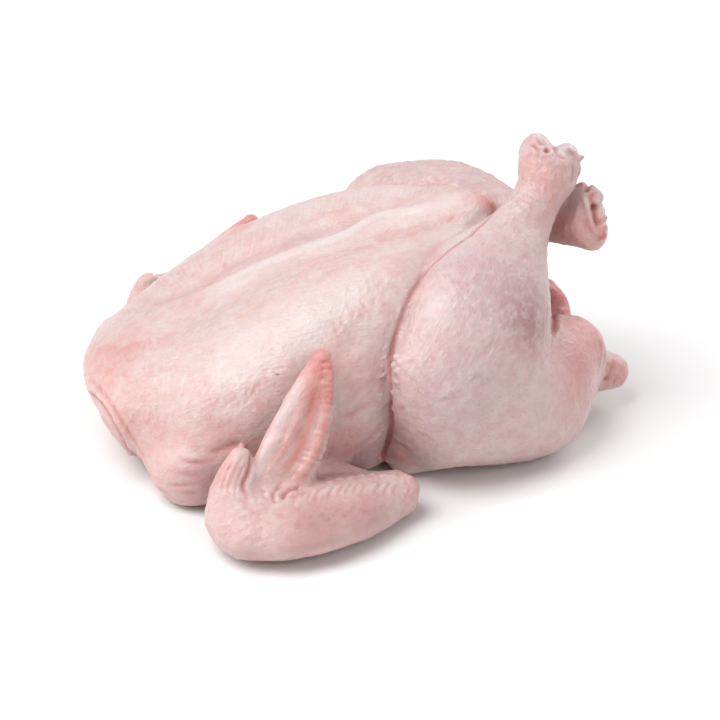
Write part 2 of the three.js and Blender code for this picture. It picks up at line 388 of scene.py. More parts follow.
def swell(share):
    """A round bump: 1 in the middle, 0 from a share of 1 outwards."""
    return np.clip(1 - share * share, 0, 1) ** 2


def rise(value, low, high):
    """Goes smoothly from 0 at low to 1 at high."""
    share = np.clip((value - low) / (high - low), 0, 1)
    return share * share * (3 - 2 * share)


def scatter(seed, *cells):
    """A repeatable random number from 0 to 1 for each cell. Large odd numbers and shifts mix its bits."""
    mixed = np.full(np.shape(cells[0]), seed * 7919 + 17, np.uint64)
    for cell in cells:
        mixed = (mixed ^ np.asarray(cell, np.int64).astype(np.uint64)) * GOLDEN_BITS
        mixed ^= mixed >> np.uint64(29)
    return (mixed >> np.uint64(40)).astype(float) / 2 ** 24


def cloudy(points, size, seed):
    """Smooth noise from -1 to 1, with features about the given size."""
    scaled = points / size
    cell = np.floor(scaled).astype(int)
    share = scaled - cell
    share = share * share * (3 - 2 * share)
    total = 0
    for i in (0, 1):
        for j in (0, 1):
            for k in (0, 1):
                weight = np.ones(len(points))
                for axis, step in enumerate((i, j, k)):
                    weight = weight * (share[:, axis] if step else 1 - share[:, axis])
                total = total + weight * scatter(seed, cell[:, 0] + i, cell[:, 1] + j, cell[:, 2] + k)
    return 2 * total - 1


def smooth_run(points, spacing):
    """Points along the smooth curve through the given points, about the spacing apart."""
    points = np.asarray(points, float)
    ends = np.vstack([2 * points[0] - points[1], points, 2 * points[-1] - points[-2]])
    pieces = []
    for a, b, c, d in zip(ends, ends[1:], ends[2:], ends[3:]):
        count = max(int(np.linalg.norm(c - b) / spacing), 1)
        t = np.arange(count)[:, None] / count
        bend = (2 * a - 5 * b + 4 * c - d) * t ** 2 + (3 * b - a - 3 * c + d) * t ** 3
        pieces.append(0.5 * (2 * b + (c - a) * t + bend))
    return np.vstack(pieces + [points[-1:]])


def fade(run, ends):
    """1 along the line, running out to 0 over the given shares at its two ends."""
    first, last = ends
    return rise(run, -1e-6, max(first, 1e-3)) * rise(1 - run, -1e-6, max(last, 1e-3))


def off_line(points, start, end):
    """The arrow to each point from the nearest place on the straight line between two places, which are in
    millimetres."""
    start, end = np.array(start) * MM, np.array(end) * MM
    run = np.clip((points - start) @ (end - start) / ((end - start) @ (end - start)), 0, 1)
    return points - start - run[:, None] * (end - start)


def bone_frame(name, outward):
    """The bone's start, and three directions: along it, outward and across, mirrored on the far side."""
    start, end, _ = BONES[name]
    start = np.array(start) * MM
    along = unit(np.array(end) * MM - start)
    side = unit(outward - along * (outward @ along))
    return start, np.stack([along, side, np.cross(along, side) * np.sign(outward[1])])


class Skin:
    """The bird's skin while it is shaped: its corners, how far each is lifted, and how it is tinted.

    A stroke is drawn where the main view's camera sees it, along pixels of the square frame. Its width and
    its height or depth are millimetres, and a tint's number is its share in the middle of the stroke. The
    stroke runs out over the two shares of its length that ends gives. With a twin it is drawn again on the
    bird's far side: on the same limb, or on the torso's other half.
    """

    # The cells that corners are looked up in, how many make a row, and how many points are looked up at once.
    CELL = 4 * MM
    CELLS_IN_A_ROW = 1000
    BATCH = 12

    # A line is filled in at small steps, but not across a jump from one part of the bird to another.
    STEP = 0.6 * MM
    JUMP = 9 * MM

    # Skin that faces away from a stroke doesn't take it: the cosines where it starts to, and where it does so
    # fully.
    FACING = (-0.1, 0.6)

    # The passes of blurring for the flow, the parts' masks, the regions' borders and the hollows.
    FLOW_PASSES = 8
    MASK_PASSES = 10
    BORDER_PASSES = 40
    HOLLOW_PASSES = 14

    # How uneven a comb's strokes are: the most that one strays in its row, bends in pixels and is cut off at
    # an end, and the ranges of its width and height.
    COMB_STRAY = 0.35
    COMB_BEND = 0.8
    COMB_CUT = 0.25
    COMB_WIDTHS = (0.8, 1.2)
    COMB_HEIGHTS = (0.6, 1.25)

    # How uneven dashes are: the most that one strays across its patch, turns in degrees and sags, the ranges
    # of its length, width and height, and the shares of it that run out at its ends.
    DASH_STRAY = 0.03
    DASH_TURN = 16
    DASH_SAG = 0.25
    DASH_LENGTHS = (0.6, 1.3)
    DASH_WIDTHS = (0.75, 1.25)
    DASH_HEIGHTS = (0.5, 1.3)
    DASH_ENDS = (0.4, 0.4)

    def __init__(self, piece):
        mesh = piece.data
        self.at = vectors_of(mesh.vertices, "co")
        self.out = vectors_of(mesh.vertex_normals, "vector")
        edges = np.zeros(len(mesh.edges) * 2, np.int32)
        mesh.edges.foreach_get("vertices", edges)
        self.edges = edges.reshape(-1, 2)
        self.valence = np.bincount(edges, minlength=len(self.at)).astype(float)
        self.lift = np.zeros(len(self.at))
        self.tint = {name: np.zeros(len(self.at)) for name in TINTS}
        bm = bmesh.new()
        bm.from_mesh(mesh)
        self.tree = BVHTree.FromBMesh(bm)
        bm.free()
        keys = self.keys_of(np.floor(self.at / self.CELL).astype(int))
        self.order = np.argsort(keys, kind="stable")
        self.keys = keys[self.order]
        ratios = [np.linalg.norm(off_line(self.at, start, end), axis=1) / (thick * MM)
                  for start, end, thick in BONES.values()]
        self.region = np.stack(ratios).argmin(0)
        self.flow = self.along_bones()
        self.part = {name: self.mask(words) for name, words in PARTS.items()}

    def keys_of(self, cell):
        """A number for each cell, which goes up by one from a cell to the next along X."""
        row = self.CELLS_IN_A_ROW
        return (cell + row // 2) @ np.array([1, row, row * row])

    def along_bones(self):
        """The way the skin runs at each corner: along the bone, and level with the skin."""
        directions = [unit(np.array(end, float) - np.array(start)) for start, end, _ in BONES.values()]
        flow = np.stack(directions)[self.region]
        for axis in range(3):
            flow[:, axis] = self.blurred(flow[:, axis], self.FLOW_PASSES)
        flow -= self.out * np.sum(flow * self.out, axis=1, keepdims=True)
        return unit(flow)

    def blurred(self, values, passes):
        """The values, each drawn halfway to the mean of its neighbours at every pass."""
        a, b = self.edges.T
        for _ in range(passes):
            total = np.bincount(a, values[b], len(values)) + np.bincount(b, values[a], len(values))
            values = 0.5 * values + 0.5 * total / self.valence
        return values

    def mask(self, words):
        """1 on the regions whose names hold one of the words, softened at their borders."""
        wanted = [i for i, region in enumerate(REGIONS) if any(word in region for word in words)]
        return self.blurred(np.isin(self.region, wanted).astype(float), self.MASK_PASSES)

    def borders(self):
        """Rises to 1 well before the borders between regions."""
        a, b = self.edges[self.region[self.edges[:, 0]] != self.region[self.edges[:, 1]]].T
        mark = np.zeros(len(self.at))
        mark[a] = mark[b] = 1
        return np.clip(self.blurred(mark, self.BORDER_PASSES) * 6, 0, 1)

    def hollows(self):
        """How deep each corner lies under the smoothed skin about it, in millimetres."""
        shaped = self.at + self.out * self.lift[:, None]
        soft = np.stack([self.blurred(shaped[:, axis], self.HOLLOW_PASSES) for axis in range(3)], 1)
        return np.sum((soft - shaped) * self.out, axis=1) / MM

    def around(self, low, high):
        """The corners in the cells that the box touches."""
        first = np.floor(low / self.CELL).astype(int)
        last = np.floor(high / self.CELL).astype(int)
        ys, zs = np.meshgrid(np.arange(first[1], last[1] + 1), np.arange(first[2], last[2] + 1))
        ys, zs = ys.ravel(), zs.ravel()
        starts = self.keys_of(np.stack([np.full(len(ys), first[0]), ys, zs], 1))
        ends = starts + (last[0] - first[0])
        a = np.searchsorted(self.keys, starts, "left")
        b = np.searchsorted(self.keys, ends, "right")
        return np.concatenate([self.order[i:j] for i, j in zip(a, b)])

    def line(self, places, normals):
        """A line on the skin through the places, with the normals there."""
        places, normals = np.asarray(places, float), np.asarray(normals, float)
        filled, facing = [], []
        for i in range(len(places) - 1):
            gap = np.linalg.norm(places[i + 1] - places[i])
            count = 1 if gap > self.JUMP else max(int(gap / self.STEP), 1)
            for t in np.arange(count) / count:
                filled.append(places[i] * (1 - t) + places[i + 1] * t)
                facing.append(normals[i])
        filled.append(places[-1])
        facing.append(normals[-1])
        filled, facing = np.array(filled), np.array(facing)
        step = np.gradient(filled, axis=0) if len(filled) > 1 else np.array([[1.0, 0, 0]])
        length = np.concatenate([[0], np.cumsum(np.linalg.norm(np.diff(filled, axis=0), axis=1))])
        return Line(filled, facing, unit(step), length / max(length[-1], 1e-9))

    def seen(self, pixels, spacing, twin):
        """The lines that the pixels' smooth curve draws: the one that the camera sees, and its twin's."""
        places, normals = [], []
        for x, y in smooth_run(pixels, spacing):
            ray = -BACKWARD * FOCAL_PIXELS + RIGHT * (x - FRAME_PIXELS / 2) - UPWARD * (y - FRAME_PIXELS / 2)
            place, normal, _, _ = self.tree.ray_cast(Vector(EYE), Vector(ray).normalized())
            if place is not None:
                places.append(place)
                normals.append(normal)
        if len(places) < 2:
            return []
        line = self.line(places, normals)
        return [line, self.far_side(line, twin)] if twin else [line]

    def far_side(self, line, twin):
        """The line's likeness on the far side's limb, or on the torso's other half."""
        if twin == "torso":
            moved = line.at * np.array([1, -1, 1])
        else:
            here, near = bone_frame("near_" + twin, np.array([0, -1.0, 0]))
            there, far = bone_frame("far_" + twin, np.array([0, 1.0, 0]))
            moved = there + (line.at - here) @ near.T @ far
        found = [self.tree.find_nearest(Vector(place)) for place in moved[::2]]
        return self.line([place for place, *_ in found], [normal for _, normal, *_ in found])

    def near(self, line, reach):
        """The corners within reach of the line: which, how far off it, how far along it, on which side, and
        how squarely they face the way the line does."""
        off = np.full(len(self.at), np.inf)
        nearest = np.zeros(len(self.at), int)
        touched = []
        for first in range(0, len(line.at), self.BATCH):
            points = line.at[first:first + self.BATCH]
            which = self.around(points.min(0) - reach, points.max(0) + reach)
            if not len(which):
                continue
            gaps = np.linalg.norm(self.at[which][:, None] - points, axis=2)
            closest = gaps.argmin(1)
            gap = gaps[np.arange(len(which)), closest]
            closer = gap < off[which]
            off[which[closer]] = gap[closer]
            nearest[which[closer]] = first + closest[closer]
            touched.append(which)
        which = np.unique(np.concatenate(touched)) if touched else np.zeros(0, int)
        which = which[off[which] < reach]
        mate = nearest[which]
        facing = rise(np.sum(self.out[which] * line.normal[mate], axis=1), *self.FACING)
        across = np.cross(line.normal[mate], line.along[mate])
        side = np.sum((self.at[which] - line.at[mate]) * across, axis=1)
        return which, off[which], line.run[mate], side, facing

    def add(self, which, lift, tints, strength):
        """Lifts the corners, and gives them each tint by its amount and the stroke's strength there."""
        self.lift[which] += lift
        for name, amount in tints.items():
            self.tint[name][which] += amount * strength

    def ridge(self, pixels, width, height, ends=(0.3, 0.3), spacing=LINE_SPACING, twin=None, **tints):
        """Raises (or, with a negative height, hollows) a soft band."""
        for line in self.seen(pixels, spacing, twin):
            which, off, run, _, facing = self.near(line, width * MM)
            strength = swell(off / (width * MM)) * fade(run, ends) * facing
            self.add(which, height * MM * strength, tints, strength)

    def crease(self, pixels, width, depth, ends=(0.3, 0.3), spacing=LINE_SPACING, lip=0.35, roll=0.0,
               twin=None, **tints):
        """Cuts a narrow fold, with lips that crest two widths off it, higher on one side with a roll."""
        for line in self.seen(pixels, spacing, twin):
            which, off, run, side, facing = self.near(line, 4 * width * MM)
            share = off / (width * MM)
            fading = fade(run, ends) * facing
            cut = np.exp(-share ** 2)
            lips = swell((share - 2) / 2) * lip * (1 + roll * np.sign(side))
            self.add(which, depth * MM * fading * (lips - cut), tints, cut * fading)

    def spot(self, place, radius, height=0.0, twin=None, **tints):
        """Raises (or, with a negative height, hollows) a round swelling about the pixel."""
        x, y = place
        for line in self.seen([(x - 0.5, y), (x + 0.5, y)], 1, twin):
            which, off, _, _, facing = self.near(line, radius * MM)
            strength = swell(off / (radius * MM)) * facing
            self.add(which, height * MM * strength, tints, strength)

    def comb(self, rail_a, rail_b, count, width, height, seed, bow=0, stray=1.0, cut=False, ends=(0.3, 0.3),
             twin=None, **tints):
        """A row of ridges or cuts, each from one rail of pixels to the other, unevenly long and spaced."""
        chance = random.Random(seed)
        stroke = self.crease if cut else self.ridge
        a, b = smooth_run(rail_a, RAIL_SPACING), smooth_run(rail_b, RAIL_SPACING)
        for i in range(count):
            place = (i + 0.5 + stray * chance.uniform(-self.COMB_STRAY, self.COMB_STRAY)) / count
            share = min(max(place, 0), 1)
            start = a[int(share * (len(a) - 1))]
            end = b[int(share * (len(b) - 1))]
            gap = end - start
            across = np.array([-gap[1], gap[0]]) / max(np.linalg.norm(gap), 1e-6)
            bend = bow + stray * chance.uniform(-self.COMB_BEND, self.COMB_BEND)
            middle = (start + end) / 2 + across * bend
            first = stray * chance.uniform(0, self.COMB_CUT)
            last = 1 - stray * chance.uniform(0, self.COMB_CUT)
            run = smooth_run([start, middle, end], RAIL_SPACING)
            pixels = run[int(first * (len(run) - 1)):int(last * (len(run) - 1)) + 1][::3]
            if len(pixels) < 2:
                continue
            thick = width * chance.uniform(*self.COMB_WIDTHS)
            tall = height * chance.uniform(*self.COMB_HEIGHTS)
            stroke(pixels, thick, tall, ends, STROKE_SPACING, twin=twin, **tints)

    def dashes(self, corners, turn, length, count, width, height, seed, cut=False, twin=None, **tints):
        """Short ridges or cuts strewn over a four-cornered patch of pixels, all turned about the same way."""
        chance = random.Random(seed)
        stroke = self.crease if cut else self.ridge
        a, b, c, d = (np.array(corner, float) for corner in corners)
        for i in range(count):
            u = (0.5 + i * GOLDEN + chance.uniform(-self.DASH_STRAY, self.DASH_STRAY)) % 1
            v = (i + chance.random()) / count
            middle = (a * (1 - u) + b * u) * (1 - v) + (d * (1 - u) + c * u) * v
            angle = math.radians(turn + chance.uniform(-self.DASH_TURN, self.DASH_TURN))
            reach = 0.5 * length * chance.uniform(*self.DASH_LENGTHS)
            step = np.array([math.cos(angle), -math.sin(angle)]) * reach
            sag = np.array([-step[1], step[0]]) * chance.uniform(-self.DASH_SAG, self.DASH_SAG)
            thick = width * chance.uniform(*self.DASH_WIDTHS)
            tall = height * chance.uniform(*self.DASH_HEIGHTS)
            pixels = [middle - step, middle + sag, middle + step]
            stroke(pixels, thick, tall, self.DASH_ENDS, STROKE_SPACING, twin=twin, **tints)


def sculpt_breast(skin):
    # The long valley beside the keel, lilac with painted shade; the keel's ridge, cream with painted
    # highlight;
    # and the bare tip where it ends, with painted light on the slope beside it and painted shade in the
    # crease at its edge.
    valley = [(135, 307), (173, 297), (201, 285), (232, 263), (264, 251), (304, 235), (342, 226), (370, 213),
              (401, 204), (428, 200)]
    keel = [(186, 299), (217, 285), (251, 269), (289, 254), (336, 238), (376, 216), (414, 210), (450, 201),
            (482, 196)]
    keel_tip, beside_tip, tip_end = (482, 198), (468, 217), (490, 205)
    tip_edge = [(488, 188), (494, 194), (498, 202), (499, 209)]
    skin.ridge(valley, width=7, height=-1.3, ends=(0.3, 0.4), lilac=0.25)
    skin.ridge(keel, width=5, height=1.0, cream=0.45)
    skin.spot(keel_tip, 8, 0.8)
    skin.spot(beside_tip, 8, 1.2, cream=0.3)
    skin.spot(tip_end, 4, 0.6)
    skin.crease(tip_edge, width=0.9, depth=0.5, ends=(0.3, 0.2), lip=0.1, deep=0.3)
    # The second, shallower hollow on the near side of the keel.
    shallow = [(250, 292), (300, 272), (351, 252), (400, 235), (440, 226)]
    skin.ridge(shallow, width=6, height=-0.5, blush=0.05)
    # Fine streaks of skin along the far lobe and the near one.
    far_lobe = [(215, 240), (300, 200), (380, 186), (440, 184)]
    far_lobe_foot = [(205, 283), (290, 240), (370, 208), (430, 196)]
    far_front = [(120, 300), (150, 275), (200, 245)]
    far_front_foot = [(140, 320), (175, 300), (215, 275)]
    near_lobe = [(395, 222), (415, 222), (440, 217), (478, 206)]
    near_lobe_foot = [(370, 246), (395, 243), (425, 236), (460, 222)]
    below_keel = [(225, 300), (380, 236), (384, 252), (232, 318)]
    keel_front = [(170, 330), (230, 300), (240, 322), (180, 352)]
    skin.comb(far_lobe, far_lobe_foot, count=40, width=0.9, height=0.3, seed=11, bow=-3)
    skin.comb(far_front, far_front_foot, count=16, width=1.0, height=0.3, seed=12)
    skin.comb(near_lobe, near_lobe_foot, count=17, width=1.0, height=0.5, seed=13, raw=0.4)
    skin.dashes(below_keel, turn=30, length=9, count=46, width=0.9, height=0.3, seed=131, blush=0.3)
    skin.dashes(keel_front, turn=60, length=9, count=20, width=1.0, height=0.3, seed=132)
    # The bare pale patch and the torn edge of the outer skin below it.
    torn_edge = [(373, 300), (355, 306), (343, 318), (330, 334), (305, 348), (270, 364), (245, 376),
                 (220, 388), (195, 394)]
    below_edge = [(x + 2, y + 10) for x, y in torn_edge]
    fringe = [(322, 338), (332, 324), (344, 310), (372, 296)]
    fringe_foot = [(326, 352), (338, 338), (352, 324), (376, 308)]
    tears = [(198, 392), (315, 345), (322, 372), (205, 418)]
    flakes = [(190, 388), (310, 342), (318, 362), (200, 410)]
    skin.ridge(below_edge, width=5.5, height=0.2, ends=(0.1, 0.1), blush=0.15)
    skin.comb(fringe, fringe_foot, count=14, width=0.7, height=0.2, seed=14, cut=True, raw=0.12)
    skin.dashes(tears, turn=62, length=12, count=34, width=0.8, height=0.08, seed=141, cut=True, raw=0.12)
    skin.dashes(flakes, turn=66, length=11, count=30, width=1.1, height=0.08, seed=142, cream=0.4)
    squiggles = [
        [(213, 383), (208, 393), (211, 399), (200, 405), (198, 412)],
        [(230, 380), (236, 384), (232, 391), (236, 397), (228, 404), (220, 414)],
        [(252, 384), (246, 394), (249, 400), (240, 406), (236, 414)],
        [(272, 363), (265, 376), (269, 381), (255, 388), (254, 394), (246, 399)],
    ]
    for squiggle in squiggles:
        beside = [(x + 3, y + 1) for x, y in squiggle]
        skin.crease(squiggle, width=0.6, depth=0.12, ends=(0.2, 0.2), spacing=STROKE_SPACING, roll=0.7,
                    raw=0.2)
        skin.ridge(beside, width=1.2, height=0.12, ends=(0.2, 0.2), spacing=STROKE_SPACING, cream=0.4)
    # Steep streaks down the front of the breast, and down its side before the leg.
    front = [(140, 335), (250, 372), (262, 410), (160, 425)]
    low_front = [(150, 380), (235, 405), (240, 440), (165, 450)]
    above_wing = [(250, 395), (300, 370), (290, 410), (235, 440)]
    before_leg = [(340, 290), (390, 270), (386, 350), (335, 350)]
    skin.dashes(front, turn=82, length=13, count=60, width=1.1, height=0.14, seed=15, twin="torso",
                cream=0.35)
    skin.dashes(low_front, turn=75, length=12, count=40, width=1.1, height=0.12, seed=16, twin="torso",
                blush=0.25)
    skin.dashes(above_wing, turn=68, length=12, count=26, width=1.1, height=0.1, seed=17, twin="torso",
                blush=0.25)
    skin.dashes(before_leg, turn=75, length=12, count=34, width=0.9, height=0.3, seed=18, twin="torso")


def sculpt_flank(skin):
    # Slack skin gathered between the breast and the leg, hollow where it meets the floor, with painted shade:
    # deep in its creases and greyish lilac at its foot.
    behind_wing = [(337, 419), (354, 414), (366, 406), (378, 392)]
    low_hollow = [(384, 426), (370, 438), (352, 450), (340, 456)]
    gathers = [(338, 360), (382, 350), (384, 440), (342, 440)]
    low_gathers = [(336, 425), (380, 415), (384, 452), (336, 458)]
    floor_gathers = [(340, 440), (384, 440), (384, 464), (330, 464)]
    bulge = [(352, 345), (364, 368), (368, 388)]
    grey_foot = [(378, 448), (366, 450), (350, 460)]
    before_fold = [(395, 268), (420, 255), (400, 320), (388, 330)]
    skin.crease(behind_wing, width=2.2, depth=0.55, ends=(0.3, 0.5), roll=0.5, deep=0.25, blush=0.3)
    skin.ridge(low_hollow, width=3.5, height=-0.7, ends=(0.3, 0.4), deep=0.15)
    skin.dashes(gathers, turn=50, length=12, count=44, width=1.0, height=0.2, seed=21, cream=0.15)
    skin.dashes(low_gathers, turn=78, length=12, count=30, width=1.2, height=0.22, seed=24, blush=0.2)
    skin.dashes(floor_gathers, turn=35, length=10, count=16, width=1.2, height=0.2, seed=22)
    skin.ridge(bulge, width=9, height=0.9, blush=0.2)
    skin.ridge(grey_foot, width=5, height=-0.3, lilac=0.9)
    skin.dashes(before_fold, turn=65, length=12, count=14, width=0.8, height=0.3, seed=23)


def sculpt_leg(skin):
    # The fold where the leg meets the breast, darkened with painted shade, and the skin pulled and torn along
    # it.
    upper_fold = [(495, 212), (470, 235), (440, 257), (420, 280), (405, 308), (395, 338)]
    lower_fold = [(398, 325), (392, 350), (390, 370), (391, 385), (392, 405), (391, 428), (388, 440),
                  (384, 450), (382, 460)]
    pulled_front = [(381, 352), (378, 385), (376, 420), (378, 450)]
    pulled_back = [(391, 344), (388, 380), (386, 412), (387, 444)]
    beads = [(396, 357), (393, 365), (400, 362), (397, 371), (396, 382), (392, 392), (393, 408)]
    fold_foot = [(376, 459), (384, 458), (392, 464)]
    skin.crease(upper_fold, width=1.0, depth=0.6, ends=(0.3, 0.02), lip=0.1, deep=0.7)
    skin.crease(lower_fold, width=1.1, depth=1.2, ends=(0.1, 0.02), lip=0.15, deep=0.75, raw=0.3)
    skin.comb(pulled_front, pulled_back, count=15, width=0.9, height=0.8, seed=31, stray=1.6, cream=0.35,
              blush=0.1)
    for bead in beads:
        skin.spot(bead, 2.0, 0.9, cream=0.5)
    skin.ridge(fold_foot, width=2.2, height=1.2, ends=(0.1, 0.3), raw=0.3)
    # Streaks down the shin, rings about the ankle, and the slack folds behind the calf, with painted shade in
    # them.
    shin = [(450, 232), (505, 188), (530, 205), (480, 262)]
    ankle_front = [(505, 205), (518, 192), (522, 182)]
    ankle_back = [(530, 224), (544, 208), (550, 196)]
    calf_fold = [(553, 314), (553, 330), (552, 348), (552, 364), (555, 384)]
    upper_calf_fold = [(541, 240), (546, 262), (551, 290)]
    skin.dashes(shin, turn=40, length=20, count=26, width=1.1, height=0.35, seed=32, twin="drum", cream=0.1)
    skin.comb(ankle_front, ankle_back, count=7, width=1.0, height=0.35, seed=33, bow=-3, stray=1.6,
              twin="drum")
    skin.crease(calf_fold, width=1.4, depth=1.1, ends=(0.1, 0.5), roll=0.6, deep=0.5)
    skin.crease(upper_calf_fold, width=1.3, depth=0.7, ends=(0.3, 0.1), roll=-0.5, deep=0.3)
    # Pebbled skin over the calf and the drumstick, and three pale cords down the back of the calf.
    calf = [(466, 322), (545, 312), (545, 372), (470, 372)]
    drumstick = [(405, 290), (470, 225), (520, 260), (440, 330)]
    drumstick_back = [(462, 268), (530, 262), (545, 312), (470, 322)]
    drumstick_front = [(410, 280), (470, 232), (500, 262), (440, 318)]
    cords = [
        [(541, 258), (544, 300), (544, 350)],
        [(544, 267), (547, 300), (547, 350)],
        [(547, 276), (550, 300), (550, 350)],
    ]
    skin.dashes(calf, turn=58, length=14, count=44, width=1.2, height=0.2, seed=34, twin="drum", cream=0.3)
    skin.dashes(drumstick, turn=40, length=10, count=50, width=1.0, height=0.12, seed=35, twin="drum",
                lilac=0.2)
    skin.dashes(drumstick_back, turn=35, length=8, count=46, width=2.0, height=0.12, seed=38, twin="drum",
                lilac=0.35)
    skin.dashes(drumstick_front, turn=55, length=7, count=36, width=2.2, height=0.1, seed=39, twin="drum",
                blush=0.25)
    for cord in cords:
        skin.ridge(cord, width=0.9, height=0.5, cream=0.8)
    # The thigh's streaks and the short fold on its side, and the far thigh's pebbled skin.
    thigh = [(402, 330), (470, 370), (540, 380), (408, 440)]
    side_roll = [(434, 396), (444, 394), (458, 390)]
    side_fold = [(430, 402), (446, 400), (460, 395)]
    far_thigh = [(345, 176), (400, 160), (482, 190), (430, 186)]
    skin.dashes(thigh, turn=70, length=9, count=50, width=1.3, height=0.14, seed=36, twin="drum")
    skin.ridge(side_roll, width=2.6, height=0.6, ends=(0.4, 0.4), cream=0.15)
    skin.crease(side_fold, width=1.2, depth=0.3)
    skin.dashes(far_thigh, turn=20, length=6, count=70, width=1.2, height=0.4, seed=45, cream=0.3)
    # The sagging foot of the thigh on the floor.
    foot_fold = [(390, 440), (406, 448), (426, 452)]
    foot_roll = [(392, 452), (408, 459), (424, 463)]
    foot_wrinkles = [(388, 400), (412, 405), (440, 466), (388, 462)]
    foot_sag = [(440, 440), (480, 448), (520, 440)]
    skin.crease(foot_fold, width=1.3, depth=0.5, ends=(0.2, 0.5), roll=0.4, raw=0.25)
    skin.ridge(foot_roll, width=4, height=0.5, ends=(0.2, 0.4), blush=0.7)
    skin.dashes(foot_wrinkles, turn=20, length=10, count=22, width=1.3, height=0.25, seed=37, blush=0.2)
    skin.ridge(foot_sag, width=10, height=0.6)


def sculpt_rump(skin):
    # Painted light on the corner under the calf, where the calf's shade falls; the pale rim along the top of
    # the rump, and the fold under it.
    painted_light_corner = (557, 323)
    rim = [(556, 312), (566, 310), (577, 310), (588, 315)]
    rim_fold = [(553, 316), (560, 315), (568, 316)]
    skin.spot(painted_light_corner, 7, 0.5, cream=0.6, deep=-0.4)
    skin.ridge(rim, width=2.0, height=0.7, cream=0.5, blush=0.2)
    skin.crease(rim_fold, width=1.0, depth=0.5, raw=0.3)
    # The folds between the rump and the tail, with painted shade in them, and the tail's own marks.
    tail_root = [(590, 318), (598, 328), (605, 350), (602, 374), (592, 400)]
    root_edge = [(595, 326), (602, 350), (599, 373), (594, 390)]
    tail_fold = [(614, 357), (612, 366), (607, 377), (603, 386)]
    lilac_shade = [(557, 338), (560, 346)]
    low_swelling, tail_end, tail_pit = (562, 385), (628, 370), (606, 379)
    skin.crease(tail_root, width=1.3, depth=0.7, roll=0.6, deep=0.2)
    skin.ridge(root_edge, width=1.5, height=0.5, cream=0.5)
    skin.crease(tail_fold, width=1.2, depth=0.5, roll=0.4, deep=0.25)
    skin.ridge(lilac_shade, width=5.0, height=0, ends=(0.01, 0.01), lilac=0.7)
    skin.spot(low_swelling, 12, 1.0)
    skin.spot(tail_end, 2.4, 1.0, raw=0.6)
    skin.spot(tail_pit, 1.8, -0.7, raw=0.8)
    # Wrinkles over the top of the rump, its side and the tail.
    top = [(560, 292), (600, 300), (604, 345), (560, 335)]
    side = [(562, 345), (602, 350), (596, 410), (560, 420)]
    tail = [(606, 358), (626, 362), (624, 384), (602, 384)]
    skin.dashes(top, turn=165, length=12, count=14, width=1.6, height=0.3, seed=41)
    skin.dashes(side, turn=80, length=12, count=22, width=1.3, height=0.25, seed=42)
    skin.dashes(tail, turn=75, length=9, count=12, width=1.1, height=0.4, seed=43)


def sculpt_neck(skin):
    # The cut edge of the neck's skin, and the crop's thin pink skin above it.
    cut_edge = [(85, 388), (100, 403), (118, 430), (136, 458), (154, 485), (180, 503)]
    inner_edge = [(92, 378), (108, 400), (130, 434), (152, 470)]
    crop = [(90, 350), (150, 335), (160, 430), (120, 430)]
    skin.crease(cut_edge, width=1.5, depth=1.6, ends=(0.05, 0.2), roll=0.6, raw=0.3)
    skin.crease(inner_edge, width=1.1, depth=0.6, ends=(0.1, 0.3), roll=-0.4, blush=0.2)
    skin.dashes(crop, turn=100, length=16, count=44, width=1.1, height=0.4, seed=51, blush=0.15)
    # The wrinkles above the shoulder, with painted shade in them, and the deeper one under the thumb, where
    # the wing's shadow is painted.
    wrinkles = [
        [(172, 459), (190, 462), (210, 467)],
        [(168, 470), (186, 474), (210, 478)],
        [(184, 463), (204, 462), (222, 457)],
        [(164, 483), (184, 486), (204, 482)],
        [(176, 492), (192, 493), (206, 491)],
    ]
    under_thumb = [(203, 455), (220, 450), (242, 441)]
    for wrinkle in wrinkles:
        skin.crease(wrinkle, width=1.1, depth=0.32, ends=(0.4, 0.4), roll=0.4, deep=0.35)
    skin.crease(under_thumb, width=2.2, depth=0.7, ends=(0.4, 0.2), roll=-0.4, deep=0.4)
    # Red swellings on the crop, and small pale beads along the cut edge.
    swellings = [((104, 350), 7), ((118, 372), 8), ((98, 372), 6), ((130, 352), 6)]
    beads = [(89, 378), (96, 385), (92, 392), (102, 396), (86, 384)]
    for place, radius in swellings:
        skin.spot(place, radius, 0.3, raw=0.25)
    for bead in beads:
        skin.spot(bead, 2.6, 0.6, cream=0.5)


